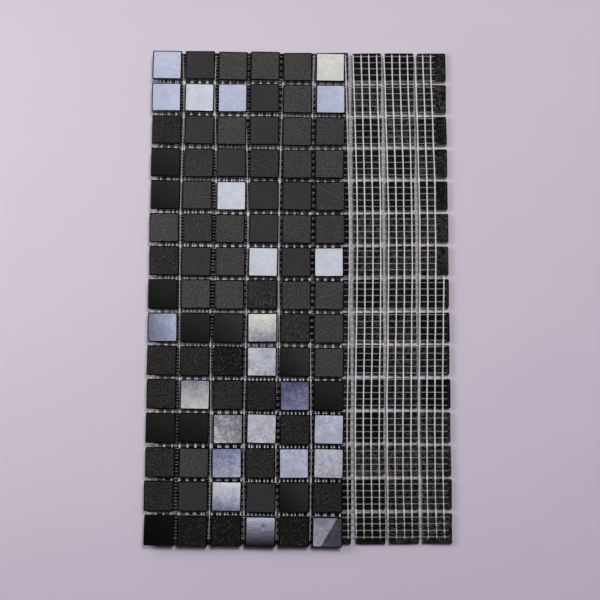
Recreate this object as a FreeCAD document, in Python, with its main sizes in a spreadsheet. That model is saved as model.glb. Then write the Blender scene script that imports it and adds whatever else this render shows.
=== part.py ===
"""Mosaic sheet of small glass tiles on a glass-fibre net, folded net to net.

The lower layer lies face down and the upper layer lies face up on it, so the net is in the middle.
X runs across the columns, Y runs up the rows and Z points up. The fold is on the left, at low X.
"""

import FreeCAD, Part

import math
import os
import random

import Sketcher

# Driving sizes, in millimetres, degrees and counts
SIZES = {
    "tile_side": 19.8,
    "tile_thickness": 4.0,
    "side_draft": 4.0,
    "face_arris": 0.7,
    "back_rim": 1.3,
    "back_recess": 0.35,
    "column_joint": 2.0,
    "row_joint": 2.08,
    "row_count": 15,
    "lower_column_count": 9,
    "upper_column_count": 6,
    "upper_overhang": 4.3,
    "upper_shift": 0.1,
    "upper_row_turn": -0.74,
    "upper_column_turn": -0.63,
    "tile_wander": 0.32,
    "tile_turn_wander": 1.0,
    "thread_thickness": 0.25,
    "warp_width": 1.0,
    "lower_warp_spacing": 5.2,
    "upper_warp_spacing": 5.0,
    "lower_warp_start": 2.4,
    "upper_warp_start": 2.7,
    "warp_side_margin": 5.0,
    "edge_warp_rows": 8,
    "weft_width": 0.6,
    "weft_spacing": 4.25,
    "weft_tail": 2.5,
    "net_top_margin": 1.5,
    "net_bottom_margin": 3.6,
    "warp_tail": 1.2,
    "fold_slack": 0.5,
}

# One letter for each tile of a row, top row first: the lower layer from its free edge to the fold,
# and then the upper layer from the fold to its free edge
LAYING_CHART = [
    ("GMSMPDMSM", "PSMMMP"),
    ("MDMPMMSGM", "PPPSMP"),
    ("SMMGMPMMD", "DSMSMM"),
    ("MPSMDMMSM", "GMSMMM"),
    ("MMGMSMBMP", "GMPSSM"),
    ("DMMPMSMMM", "MMMSMM"),
    ("MSDMMGMPM", "DSMPSP"),
    ("PMMSMMDMS", "GMMDMM"),
    ("MGMDPMSMM", "BGGPDM"),
    ("MMSMMDMGP", "DDDPGM"),
    ("BMPMSMMMD", "DPDDBG"),
    ("MDMMGMPSM", "GGPPDP"),
    ("SMMPMMDMG", "DMBDPP"),
    ("MMGMDSMPM", "DSPSGD"),
    ("DPMSMMGMD", "GDDPDP"),
]
FINISHES = {
    "M": "granular",
    "D": "dark_granular",
    "S": "satin",
    "G": "gloss",
    "P": "pearl",
    "B": "violet",
}
WANDER_SEED = 15


def make_sizes(doc):
    """Put every driving size in the spreadsheet, under its own name."""
    sheet = doc.addObject("Spreadsheet::Sheet", "sizes")
    for row, (alias, value) in enumerate(SIZES.items(), start=1):
        sheet.set(f"A{row}", alias)
        sheet.set(f"B{row}", str(value))
        sheet.setAlias(f"B{row}", alias)
    doc.recompute()
    return sheet


doc = FreeCAD.newDocument("mosaic_sheet")
sizes = make_sizes(doc)


def size(alias):
    return float(sizes.get(alias))


def count(alias):
    return int(round(size(alias)))


# Heights of the layers, from the floor up
column_pitch = size("tile_side") + size("column_joint")
row_pitch = size("tile_side") + size("row_joint")
lower_back = size("tile_thickness")
lower_warp_bottom = lower_back + size("thread_thickness")
net_middle = lower_warp_bottom + size("thread_thickness")
upper_warp_top = net_middle + size("thread_thickness")
upper_back = upper_warp_top + size("thread_thickness")
upper_face = upper_back + size("tile_thickness")


# One tile, made face down: the face is at the bottom and the narrower back at the top


def origin_plane(body, role):
    return next(item for item in body.Origin.OriginFeatures if item.Role == role)


def square_sketch(body, name, side, height):
    """A square centred on the body's axis, with its side and its height given as expressions."""
    sketch = body.newObject("Sketcher::SketchObject", name)
    sketch.AttachmentSupport = [(origin_plane(body, "XY_Plane"), "")]
    sketch.MapMode = "FlatFace"
    sketch.setExpression("AttachmentOffset.Base.z", height)
    half = size("tile_side") / 2
    corners = [
        FreeCAD.Vector(-half, -half, 0),
        FreeCAD.Vector(half, -half, 0),
        FreeCAD.Vector(half, half, 0),
        FreeCAD.Vector(-half, half, 0),
    ]
    for index in range(4):
        sketch.addGeometry(Part.LineSegment(corners[index], corners[(index + 1) % 4]))
    for index in range(4):
        sketch.addConstraint(Sketcher.Constraint("Coincident", index, 2, (index + 1) % 4, 1))
    for index in (0, 2):
        sketch.addConstraint(Sketcher.Constraint("Horizontal", index))
    for index in (1, 3):
        sketch.addConstraint(Sketcher.Constraint("Vertical", index))
    sketch.addConstraint(Sketcher.Constraint("Symmetric", 0, 1, 2, 1, -1, 1))
    sketch.addConstraint(Sketcher.Constraint("Equal", 0, 1))
    across = sketch.addConstraint(Sketcher.Constraint("DistanceX", 0, 1, 0, 2, 2 * half))
    sketch.renameConstraint(across, "side")
    sketch.setExpression("Constraints.side", side)
    return sketch


def edges_at_height(shape, height):
    """Names of the edges that lie at this height all along."""
    names = []
    for number, edge in enumerate(shape.Edges, start=1):
        box = edge.BoundBox
        if abs(box.ZMin - height) < 1e-6 and abs(box.ZMax - height) < 1e-6:
            names.append(f"Edge{number}")
    return names


def make_tile(doc):
    """The pressed glass tile: drafted sides, a worn arris round the face and a sunk panel in the back."""
    body = doc.addObject("PartDesign::Body", "tile")
    body.Label = "tile_pattern"
    slab = body.newObject("PartDesign::Pad", "slab")
    slab.Profile = square_sketch(body, "face_outline", "sizes.tile_side", "0 mm")
    slab.setExpression("Length", "sizes.tile_thickness")
    slab.setExpression("TaperAngle", "-sizes.side_draft")
    doc.recompute()

    arris = body.newObject("PartDesign::Chamfer", "arris")
    arris.Base = (slab, edges_at_height(slab.Shape, 0))
    arris.setExpression("Size", "sizes.face_arris")
    doc.recompute()
    arris_volume = arris.Shape.Volume

    panel = body.newObject("PartDesign::Pocket", "back_panel")
    back_side = "sizes.tile_side - 2 * sizes.tile_thickness * tan(sizes.side_draft * 1 deg)"
    panel.Profile = square_sketch(
        body, "back_outline", f"{back_side} - 2 * sizes.back_rim", "sizes.tile_thickness"
    )
    panel.setExpression("Length", "sizes.back_recess")
    doc.recompute()
    sunk = arris_volume - panel.Shape.Volume
    floor_side = panel.Profile[0].getDatum("side").Value
    if abs(sunk - floor_side**2 * size("back_recess")) > 1e-3:
        raise RuntimeError("the back panel isn't sunk into the tile")
    body.Tip = panel
    doc.recompute()
    return body


# Where the layers lie, before the whole sheet is centred: the middle of the rows is at Y = 0, and
# the fold side of the lower layer's tiles is at X = 0


def lower_point(across, along):
    """A place in the lower layer, measured from the fold side of its tiles and the middle of its rows."""
    return FreeCAD.Vector(across, along, 0)


def upper_point(across, along):
    """A place in the upper layer, measured the same way. The layer overhangs, and is turned and skewed."""
    row_turn = math.radians(size("upper_row_turn"))
    column_turn = math.radians(size("upper_column_turn"))
    return FreeCAD.Vector(
        -size("upper_overhang") + across * math.cos(row_turn) - along * math.sin(column_turn),
        size("upper_shift") + across * math.sin(row_turn) + along * math.cos(column_turn),
        0,
    )


def tile_centre(column, row):
    """Across and along of a tile's centre. Column 0 is beside the fold, and row 0 is the top row."""
    across = size("tile_side") / 2 + column * column_pitch
    along = ((count("row_count") - 1) / 2 - row) * row_pitch
    return across, along


def chart_letter(layer, column, row):
    """The finish of a tile, with the chart repeated where the sheet has more tiles than it."""
    lower_letters, upper_letters = LAYING_CHART[row % len(LAYING_CHART)]
    if layer == "lower":
        return lower_letters[::-1][column % len(lower_letters)]
    return upper_letters[column % len(upper_letters)]


def laid_tile(pattern, layer, column, row, wander):
    """One tile in its place, a little off the grid and a little turned as tiles on a net are."""
    across, along = tile_centre(column, row)
    across += wander.uniform(-1, 1) * size("tile_wander")
    along += wander.uniform(-1, 1) * size("tile_wander")
    turn = wander.uniform(-1, 1) * size("tile_turn_wander")
    upright = FreeCAD.Rotation(FreeCAD.Vector(1, 0, 0), 180)
    if layer == "lower":
        place = lower_point(across, along)
        rotation = FreeCAD.Rotation(FreeCAD.Vector(0, 0, 1), turn)
    else:
        place = upper_point(across, along)
        place.z = upper_face
        turn += (size("upper_row_turn") + size("upper_column_turn")) / 2
        rotation = FreeCAD.Rotation(FreeCAD.Vector(0, 0, 1), turn).multiply(upright)
    copy = pattern.copy()
    copy.Placement = FreeCAD.Placement(place, rotation)
    return copy


def lay_tiles(pattern):
    """All tiles, as one list for each layer and finish."""
    wander = random.Random(WANDER_SEED)
    laid = {}
    for layer in ("lower", "upper"):
        for finish in FINISHES.values():
            laid[f"{layer}_{finish}_tiles"] = []
        for row in range(count("row_count")):
            for column in range(count(f"{layer}_column_count")):
                finish = FINISHES[chart_letter(layer, column, row)]
                solid = laid_tile(pattern, layer, column, row, wander)
                laid[f"{layer}_{finish}_tiles"].append(solid)
    return laid


# The net: flat warp threads up the rows, and weft threads across them that go round the fold


def layer_width(layer):
    return count(f"{layer}_column_count") * column_pitch - size("column_joint")


def rows_height():
    return count("row_count") * row_pitch - size("row_joint")


def warp_places(layer):
    """How far each warp thread's middle is from the fold side of the layer's tiles."""
    start = size(f"{layer}_warp_start")
    spacing = size(f"{layer}_warp_spacing")
    room = layer_width(layer) - size("warp_side_margin") - start
    return [start + index * spacing for index in range(int(room / spacing) + 1)]


def warp_spans(layer):
    """Each warp thread's middle and its two ends. The lower layer has a short one more at its free edge."""
    high = rows_height() / 2 - size("net_top_margin")
    low = size("net_bottom_margin") - rows_height() / 2
    spans = [(across, low, high) for across in warp_places(layer)]
    if layer == "lower":
        edge = warp_places(layer)[-1] + size("lower_warp_spacing")
        spans.append((edge, low, count("edge_warp_rows") * row_pitch - rows_height() / 2))
    return spans


def weft_places():
    """How far each weft thread's middle is from the middle of the rows, evenly between the warps' ends."""
    top = rows_height() / 2 - size("net_top_margin") - size("warp_tail")
    bottom = size("net_bottom_margin") + size("warp_tail") - rows_height() / 2
    gaps = int((top - bottom) / size("weft_spacing"))
    return [top - index * size("weft_spacing") for index in range(gaps + 1)]


def slab_between(corners, bottom, top):
    """A flat bar with this outline, from one height to another."""
    base = [FreeCAD.Vector(corner.x, corner.y, bottom) for corner in corners]
    outline = Part.makePolygon(base + base[:1])
    return Part.Face(outline).extrude(FreeCAD.Vector(0, 0, top - bottom))


def warp_threads(layer, point, bottom, top):
    """The layer's warp threads, each a flat bar in line with the layer's columns."""
    half = size("warp_width") / 2
    threads = []
    for across, low, high in warp_spans(layer):
        corners = [
            point(across - half, low),
            point(across + half, low),
            point(across + half, high),
            point(across - half, high),
        ]
        threads.append(slab_between(corners, bottom, top))
    return threads


def fold_edge(along):
    """How far left of the lower tiles the net turns back, where the upper layer overhangs them."""
    overhang = -upper_point(0, along).x
    return -(overhang + size("column_joint")) / 2 - size("fold_slack")


def weft_end(layer, along):
    """Where a weft thread ends, a short tail past the last warp thread that it crosses."""
    crossed = [across for across, low, high in warp_spans(layer) if low <= along <= high]
    return max(crossed) + size("weft_tail")


def weft_sections(along):
    """Centre, outer side and inner side of a weft thread at each station on its way round the fold."""
    thick = size("thread_thickness")
    bend = upper_back - net_middle
    edge = fold_edge(along)
    start = edge + bend
    upper_start = start - upper_point(0, along).x
    below = lower_point(start, along)
    above = upper_point(upper_start, along)
    middle = (below + above) / 2
    stations = [
        (lower_point(weft_end("lower", along), along), lower_back, 0, thick),
        (below, lower_back, 0, thick),
        (FreeCAD.Vector(edge, middle.y, 0), net_middle, thick, 0),
        (above, upper_back, 0, -thick),
        (upper_point(weft_end("upper", along), along), upper_back, 0, -thick),
    ]
    sections = []
    for place, height, inward, upward in stations:
        half = FreeCAD.Vector(0, size("weft_width") / 2, 0)
        outer = FreeCAD.Vector(place.x, place.y, height)
        inner = outer + FreeCAD.Vector(inward, 0, upward)
        sections.append([outer - half, outer + half, inner + half, inner - half])
    return sections


def triangles(first, second, third, fourth):
    """The two flat faces that close a four-cornered patch."""
    return [
        Part.Face(Part.makePolygon([first, second, third, first])),
        Part.Face(Part.makePolygon([first, third, fourth, first])),
    ]


def weft_thread(along):
    """One weft thread as a closed solid, joined section to section."""
    sections = weft_sections(along)
    faces = triangles(*sections[0]) + triangles(*reversed(sections[-1]))
    for before, after in zip(sections, sections[1:]):
        for index in range(4):
            following = (index + 1) % 4
            faces += triangles(before[following], before[index], after[index], after[following])
    return Part.makeSolid(Part.makeShell(faces))


def make_net():
    """The net's threads, as one list for each node."""
    return {
        "lower_net_warps": warp_threads("lower", lower_point, lower_warp_bottom, net_middle),
        "upper_net_warps": warp_threads("upper", upper_point, net_middle, upper_warp_top),
        "net_wefts": [weft_thread(along) for along in weft_places()],
    }


# The sub-parts, each an object of its own, and the whole sheet centred on its floor


def outer_box(solids):
    """The box round flat-faced solids, which their corners give exactly."""
    box = FreeCAD.BoundBox()
    for solid in solids:
        for corner in solid.Vertexes:
            box.add(corner.Point)
    return box


def centring_shift(groups):
    """The move that puts the whole sheet's middle over the origin, on the floor."""
    box = outer_box(solid for solids in groups.values() for solid in solids)
    return FreeCAD.Vector(-box.Center.x, -box.Center.y, -box.ZMin)


def make_nodes(doc, groups):
    shift = centring_shift(groups)
    nodes = []
    for name, solids in groups.items():
        if not solids:
            continue
        node = doc.addObject("Part::Feature", name)
        node.Label = name
        node.Shape = Part.makeCompound(solids)
        node.Placement = FreeCAD.Placement(shift, FreeCAD.Rotation())
        nodes.append(node)
    return nodes


def check(doc, nodes):
    """Stop if anything in the document failed or any sub-part isn't a set of good solids."""
    for item in doc.Objects:
        if "Invalid" in item.State or "Error" in item.State:
            raise RuntimeError(f"{item.Name} failed: {item.State}")
    for node in nodes:
        if node.Shape.isNull() or not node.Shape.isValid():
            raise RuntimeError(f"{node.Label} has no valid shape")
        if any(solid.Volume <= 0 for solid in node.Shape.Solids):
            raise RuntimeError(f"{node.Label} has a solid that is inside out")


def write(nodes):
    os.makedirs("parts", exist_ok=True)
    for node in nodes:
        node.Shape.exportStep(f"parts/{node.Label}.step")
        box = node.Shape.BoundBox
        print(
            f"{node.Label}: {len(node.Shape.Solids)} solids, {node.Shape.Volume / 1000:.2f} cm3, "
            f"Z {box.ZMin:.2f} to {box.ZMax:.2f}"
        )


def report_places(nodes, groups):
    """Print the overall size and the middle of the lower tile that is nearest the sheet's middle."""
    whole = outer_box(node.Shape for node in nodes)
    print(f"overall {whole.XLength:.2f} x {whole.YLength:.2f} x {whole.ZLength:.2f}")
    middle_column = count("lower_column_count") // 2
    middle_row = count("row_count") // 2
    centre = lower_point(*tile_centre(middle_column, middle_row)) + centring_shift(groups)
    print(f"middle tile of the lower layer at {centre.x:.2f}, {centre.y:.2f}")


tile = make_tile(doc)
groups = {**lay_tiles(tile.Shape), **make_net()}
nodes = make_nodes(doc, groups)
doc.recompute()
check(doc, nodes)
write(nodes)
report_places(nodes, groups)
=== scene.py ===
# %% [markdown]
# # A glass mosaic sheet, folded net to net
# The real thing is a sheet of 225 small pressed-glass tiles, glued by their backs to a glass-fibre net.
# Somebody folded it once along a joint and laid it on a table, so the lower layer lies face down and the
# upper layer lies face up on it. The construction is solid and measured already. This lesson dresses it:
# every tile gets its pressed shape and its glaze, and the net gets real threads.

import math

import bpy
import numpy as np
from mathutils import Matrix, Vector


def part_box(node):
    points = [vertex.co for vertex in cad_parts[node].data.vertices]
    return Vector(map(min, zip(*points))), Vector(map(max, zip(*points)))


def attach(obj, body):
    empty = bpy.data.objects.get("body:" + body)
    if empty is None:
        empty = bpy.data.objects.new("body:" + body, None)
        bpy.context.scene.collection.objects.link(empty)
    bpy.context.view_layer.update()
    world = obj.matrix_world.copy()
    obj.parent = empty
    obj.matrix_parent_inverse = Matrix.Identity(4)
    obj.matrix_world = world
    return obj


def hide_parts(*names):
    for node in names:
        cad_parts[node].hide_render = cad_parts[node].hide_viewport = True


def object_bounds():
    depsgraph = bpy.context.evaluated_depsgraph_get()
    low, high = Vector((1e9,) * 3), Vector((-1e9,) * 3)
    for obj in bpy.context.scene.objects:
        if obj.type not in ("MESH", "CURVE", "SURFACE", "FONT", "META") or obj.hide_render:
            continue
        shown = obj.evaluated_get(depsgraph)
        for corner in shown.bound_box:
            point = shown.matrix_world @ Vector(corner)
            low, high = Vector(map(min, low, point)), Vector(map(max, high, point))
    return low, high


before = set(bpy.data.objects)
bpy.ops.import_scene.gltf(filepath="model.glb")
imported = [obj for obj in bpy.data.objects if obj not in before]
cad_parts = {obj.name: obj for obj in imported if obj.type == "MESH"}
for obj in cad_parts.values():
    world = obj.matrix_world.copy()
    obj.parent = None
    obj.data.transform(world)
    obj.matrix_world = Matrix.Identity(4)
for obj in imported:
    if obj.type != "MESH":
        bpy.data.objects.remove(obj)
scene = bpy.context.scene
measured_low, measured_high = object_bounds()
MM = 0.001
chance = np.random.default_rng(225)
print("sheet", [round((b - a) / MM, 2) for a, b in zip(measured_low, measured_high)], "mm")

# %% [markdown]
# ## The camera
# The picture was taken from almost straight above, by a camera a little to the near side, so the near
# rows are a bit larger than the far ones. The lens and the tilt come from fitting the tiles' even grid
# to the picture. A camera made from a point on the table, a distance and three small turns is easier to
# understand than one with a ready-made matrix.

# %% Stand the camera above the sheet
AIM = Vector((1.23 * MM, -3.187 * MM, 0))
CAMERA_DISTANCE = 650 * MM
CAMERA_TILT = math.radians(4.368)
CAMERA_LEAN = math.radians(-0.129)
CAMERA_ROLL = math.radians(-0.113)
SENSOR_WIDTH = 36.0
LENS = 58.66

looking = (
    Matrix.Rotation(CAMERA_TILT, 4, "X")
    @ Matrix.Rotation(CAMERA_LEAN, 4, "Y")
    @ Matrix.Rotation(CAMERA_ROLL, 4, "Z")
)
camera_data = bpy.data.cameras.new("overhead_camera")
camera_data.lens = LENS
camera_data.sensor_width = SENSOR_WIDTH
camera = bpy.data.objects.new("overhead_camera", camera_data)
camera.matrix_world = Matrix.Translation(AIM) @ looking @ Matrix.Translation((0, 0, CAMERA_DISTANCE))
scene.collection.objects.link(camera)
scene.camera = camera
print("camera at", [round(value / MM) for value in camera.matrix_world.translation], "mm")

# %% [markdown]
# ## Small tools for meshes and materials
# Thousands of small faces are quickest to make as arrays of points and four-cornered faces. Materials
# are short chains of nodes, so one helper adds a node and sets its options, and another feeds its inputs.

# %% Helpers for meshes and nodes


def make_piece(name, points, quads, materials, material_of_face=None):
    """A mesh object from points in millimetres and quads, smooth apart from its real corners."""
    mesh = bpy.data.meshes.new(name)
    mesh.from_pydata((points * MM).tolist(), [], quads.tolist())
    for material in materials:
        mesh.materials.append(material)
    mesh.polygons.foreach_set("use_smooth", np.ones(len(quads), bool))
    if material_of_face is not None:
        mesh.polygons.foreach_set("material_index", material_of_face.astype(np.int32))
    mesh.set_sharp_from_angle(angle=math.radians(50))
    mesh.update()
    piece = bpy.data.objects.new(name, mesh)
    scene.collection.objects.link(piece)
    return piece


def mark_points(piece, name, values):
    """Store numbers with every point, for the materials to read."""
    kinds = {1: ("FLOAT", "value"), 3: ("FLOAT_VECTOR", "vector"), 4: ("FLOAT_COLOR", "color")}
    kind, field = kinds[1 if values.ndim == 1 else values.shape[1]]
    layer = piece.data.attributes.new(name, kind, "POINT")
    layer.data.foreach_set(field, np.ascontiguousarray(values, dtype=np.float32).ravel())


def start_material(name):
    material = bpy.data.materials.new(name)
    material.use_nodes = True
    return material, material.node_tree, material.node_tree.nodes["Principled BSDF"]


def feed(tree, node, inputs):
    """Give each of these inputs its plain value, or link it to another node's output."""
    for socket, value in inputs.items():
        if isinstance(value, bpy.types.NodeSocket):
            tree.links.new(value, node.inputs[socket])
        else:
            node.inputs[socket].default_value = value


def add(tree, kind, inputs=None, **options):
    made = tree.nodes.new(kind)
    for option, value in options.items():
        setattr(made, option, value)
    feed(tree, made, inputs or {})
    return made


def stored(tree, name, output):
    return add(tree, "ShaderNodeAttribute", attribute_name=name).outputs[output]


def parts(tree, vector):
    return add(tree, "ShaderNodeSeparateXYZ", {0: vector}).outputs


def stored_parts(tree, name):
    """The three numbers of a stored mark."""
    return parts(tree, stored(tree, name, "Vector"))


def work_out(tree, operation, first, second=0.0, third=0.0):
    inputs = {0: first, 1: second, 2: third}
    return add(tree, "ShaderNodeMath", inputs, operation=operation).outputs[0]


def multiply(tree, first, *others):
    for other in others:
        first = work_out(tree, "MULTIPLY", first, other)
    return first


def between(tree, value, from_low, from_high, to_low, to_high):
    """Carry a value over from one range to another, and stop it at the ends."""
    inputs = {0: value, 1: from_low, 2: from_high, 3: to_low, 4: to_high}
    return add(tree, "ShaderNodeMapRange", inputs).outputs[0]


def mix_colours(tree, share, first, second, how="MIX"):
    inputs = {0: share, 6: first, 7: second}
    options = {"data_type": "RGBA", "blend_type": how, "clamp_factor": True}
    return add(tree, "ShaderNodeMix", inputs, **options).outputs[2]


def mix_numbers(tree, share, first, second):
    return add(tree, "ShaderNodeMix", {0: share, 2: first, 3: second}).outputs[0]


def scale_colour(tree, colour, factor):
    inputs = {0: colour, "Scale": factor}
    return add(tree, "ShaderNodeVectorMath", inputs, operation="SCALE").outputs[0]


def noise(tree, where, scale, detail=2.0, roughness=0.5):
    inputs = {"Vector": where, "Scale": scale, "Detail": detail, "Roughness": roughness}
    return add(tree, "ShaderNodeTexNoise", inputs).outputs["Fac"]


def spread(tree, value, low, high):
    """Carry the usual range of a noise over to this one."""
    return between(tree, value, 0.3, 0.7, low, high)


def swing(tree, value, depth):
    """A factor round 1 that follows a noise down and up by this depth."""
    return work_out(tree, "MULTIPLY_ADD", spread(tree, value, -1, 1), depth, 1.0)


def place_on_sheet(tree):
    """The point's place on the sheet in metres."""
    return add(tree, "ShaderNodeTexCoord").outputs["Object"]


def stretched(tree, where, scale, turn=0.0):
    inputs = {"Vector": where, "Rotation": (0, 0, turn), "Scale": scale}
    return add(tree, "ShaderNodeMapping", inputs).outputs[0]


def raise_surface(tree, shader, height, depth):
    """Bump: the height runs from 0 to 1 and stands for a relief of this depth in metres."""
    bump = add(tree, "ShaderNodeBump", {"Height": height, "Distance": depth, "Strength": 1.0})
    feed(tree, shader, {"Normal": bump.outputs[0]})


# %% [markdown]
# ## Where every tile lies
# The tiles' real places are in the loaded frame, a little off the grid and a little turned as tiles on a
# net are. Each loaded node holds all the tiles of one finish, so the first job is to take it apart into
# separate solids. Points that share an edge belong together, and the lowest label spreads along edges
# until nothing changes.

# %% Take the nodes apart into solids


def solids_of(node):
    """The corner points of each separate solid of a node, in millimetres."""
    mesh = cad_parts[node].data
    points = np.empty(len(mesh.vertices) * 3)
    mesh.vertices.foreach_get("co", points)
    ends = np.empty(len(mesh.edges) * 2, np.int32)
    mesh.edges.foreach_get("vertices", ends)
    points = np.round(points.reshape(-1, 3) / MM, 3)
    corners, corner_of_point = np.unique(points, axis=0, return_inverse=True)
    first, second = corner_of_point.ravel()[ends].reshape(-1, 2).T
    label = np.arange(len(corners))
    while True:
        lowest = np.minimum(label[first], label[second])
        spread = label.copy()
        np.minimum.at(spread, first, lowest)
        np.minimum.at(spread, second, lowest)
        if np.array_equal(spread, label):
            return [corners[label == value] for value in np.unique(label)]
        label = spread


def tile_place(corners):
    """Centre, turn in radians and widest half side of a tile."""
    centre = (corners[:, :2].min(axis=0) + corners[:, :2].max(axis=0)) / 2
    arms = corners[:, :2] - centre
    reach = np.hypot(*arms.T)
    angle = math.atan2(*arms[reach.argmax()][::-1])
    quarter = math.pi / 2
    return (*centre, (angle % quarter) - quarter / 2, reach.max() / math.sqrt(2))


LAYER_COLUMNS = {"lower": 9, "upper": 6}
ROWS = 15
places = {}
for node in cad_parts:
    if node.endswith("_tiles"):
        places[node] = np.array([tile_place(corners) for corners in solids_of(node)])
tile_half = float(np.median(np.vstack(list(places.values()))[:, 3]))
print(sum(len(found) for found in places.values()), "tiles, half side", round(tile_half, 2), "mm")

# %% [markdown]
# Rows and columns are counted from the places themselves. The upper layer was laid on a little askew, so
# a straight-line fit gives each layer its own step along a row and its own step down a column.

# %% Count rows and columns, and fit each layer's grid


def grid_number(values, count):
    step = (values.max() - values.min()) / (count - 1)
    return np.round((values - values.min()) / step).astype(int)


layers = {}
for layer, columns in LAYER_COLUMNS.items():
    names = [node for node in places if node.startswith(layer)]
    together = np.vstack([places[node] for node in names])
    column = grid_number(together[:, 0], columns)
    row = grid_number(-together[:, 1], ROWS)
    steps = np.column_stack([np.ones(len(together)), column, row])
    fit = np.linalg.lstsq(steps, together[:, :2], rcond=None)[0]
    low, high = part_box(names[0])
    ends = np.cumsum([len(places[node]) for node in names])[:-1]
    layers[layer] = {
        "origin": fit[0],
        "column_step": fit[1],
        "row_step": fit[2],
        "heights": (low.z / MM, high.z / MM),
        "columns": dict(zip(names, np.split(column, ends))),
        "rows": dict(zip(names, np.split(row, ends))),
    }
    print(layer, "column step", np.round(fit[1], 2), "row step", np.round(fit[2], 2), "mm")

tile_thickness = layers["lower"]["heights"][1] - layers["lower"]["heights"][0]

# %% [markdown]
# ## The shape of a pressed tile
# Such a tile is pressed while the glass is soft. Its face is nearly flat and ends in a worn, rounded
# arris, the sides draw in a little towards the back, and the back has a raised rim round a sunk panel
# with shallow ribs that hold the glue. One template is enough: a grid for the face, rings that follow the
# section from the face round to the back, and a second grid for the sunk panel. The rings and both grids
# have the same number of points along a side, so that everything joins in four-cornered faces.

# %% Lay out one tile's points
STATIONS = np.array([0, 1.6, 3.2, 4.8, 6.3, 7.6, 8.72, 9.05, 9.3]) / 9.3
STATIONS = np.concatenate([-STATIONS[:0:-1], STATIONS])
SIDE = len(STATIONS)

# How far each ring lies inside the widest line, its height over the back, and its corner radius
SECTION = [
    (0.85, tile_thickness, 0.4),
    (0.45, tile_thickness - 0.05, 0.6),
    (0.14, tile_thickness - 0.22, 0.75),
    (0.0, tile_thickness - 0.66, 0.85),
    (0.09, tile_thickness - 2.0, 0.8),
    (0.2, 0.35, 0.75),
    (0.27, 0.1, 0.7),
    (0.42, 0.0, 0.6),
    (1.38, 0.0, 0.5),
    (1.52, 0.12, 0.5),
    (1.75, 0.34, 0.5),
]
# Rings of the sides, and rings of the back's rim, which the glue reaches
SIDE_RINGS = 4
RIM_RINGS = 3


def rounded(x, y, half, radius):
    """Pull the points of a square's corners in to a round corner."""
    over_x = np.abs(x) - (half - radius)
    over_y = np.abs(y) - (half - radius)
    corner = (over_x > 0) & (over_y > 0)
    length = np.where(corner, np.hypot(over_x, over_y), 1)
    pull = np.where(corner, np.maximum(over_x, over_y) / length, 1)
    new_x = np.where(corner, np.sign(x) * (half - radius + over_x * pull), x)
    new_y = np.where(corner, np.sign(y) * (half - radius + over_y * pull), y)
    return new_x, new_y


def square_grid(inset, height, radius):
    half = tile_half - inset
    y, x = np.meshgrid(STATIONS * half, STATIONS * half, indexing="ij")
    x, y = rounded(x, y, half, radius)
    return np.stack([x.ravel(), y.ravel(), np.full(x.size, height)], axis=1)


def border_of_grid():
    """The grid's outer points in order, anticlockwise from the near left corner."""
    number = np.arange(SIDE * SIDE).reshape(SIDE, SIDE)
    return np.concatenate([number[0, :-1], number[:-1, -1], number[-1, :0:-1], number[:0:-1, 0]])


border = border_of_grid()


def tile_points(softness):
    """All points of a tile. Softness from 0 to 1 makes the corners rounder."""
    section = [(inset, height, radius * (0.7 + 0.8 * softness)) for inset, height, radius in SECTION]
    face = square_grid(*section[0])
    rings = [square_grid(*station)[border] for station in section[1:-1]]
    return np.concatenate([face, *rings, square_grid(*section[-1])])


def grid_faces(start, upwards):
    number = start + np.arange(SIDE * SIDE).reshape(SIDE, SIDE)
    turn = [number[:-1, :-1], number[:-1, 1:], number[1:, 1:], number[1:, :-1]]
    if not upwards:
        turn = turn[::-1]
    return np.stack([corner.ravel() for corner in turn], axis=1)


def tile_faces():
    """The faces of a tile, and which of them carry the glaze."""
    ring_count = len(SECTION) - 2
    first_ring = SIDE * SIDE
    panel = first_ring + ring_count * len(border)
    loops = [border]
    loops += [first_ring + index * len(border) + np.arange(len(border)) for index in range(ring_count)]
    loops.append(panel + border)
    faces = [grid_faces(0, True)]
    for upper, lower in zip(loops, loops[1:]):
        faces.append(np.stack([lower, np.roll(lower, -1), np.roll(upper, -1), upper], axis=1))
    faces.append(grid_faces(panel, False))
    glazed = np.zeros(sum(len(group) for group in faces), int)
    glazed[: len(faces[0])] = 1
    return np.concatenate(faces), glazed


sharp_tile = tile_points(0.0)
soft_tile = tile_points(1.0)
template_faces, template_glazed = tile_faces()
panel_start = len(sharp_tile) - SIDE * SIDE
glued_start = panel_start - RIM_RINGS * len(border)
side_points = slice(glued_start - SIDE_RINGS * len(border), glued_start)
print(len(template_faces) * 2, "triangles a tile")

# %% [markdown]
# No two pressed tiles are alike. Each copy of the template gets corners of its own softness, sides that
# bow in or out by less than a tenth of a millimetre, a slightly crowned or hollow face and its own ribs
# in the back panel, which run across or along as the tile happened to be turned when it was glued.

# %% Make each tile its own pressing
SIDE_BOW = 0.07
FACE_CROWN = 0.035
PRESS_WAVE = 0.03
RIB_HEIGHT = 0.11
RIB_COUNT = 4.0
RIB_FADE = 0.25
ACROSS_SHARE = 0.55


def side_shape(across, along, bow, wave):
    """How far the points of a side move outwards, for a bow along the side and a small wave."""
    bowed = across * (bow * (1 - along * along) - abs(bow))
    return bowed + PRESS_WAVE / 2 * np.sin(2 * along + wave) * abs(across)


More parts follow.
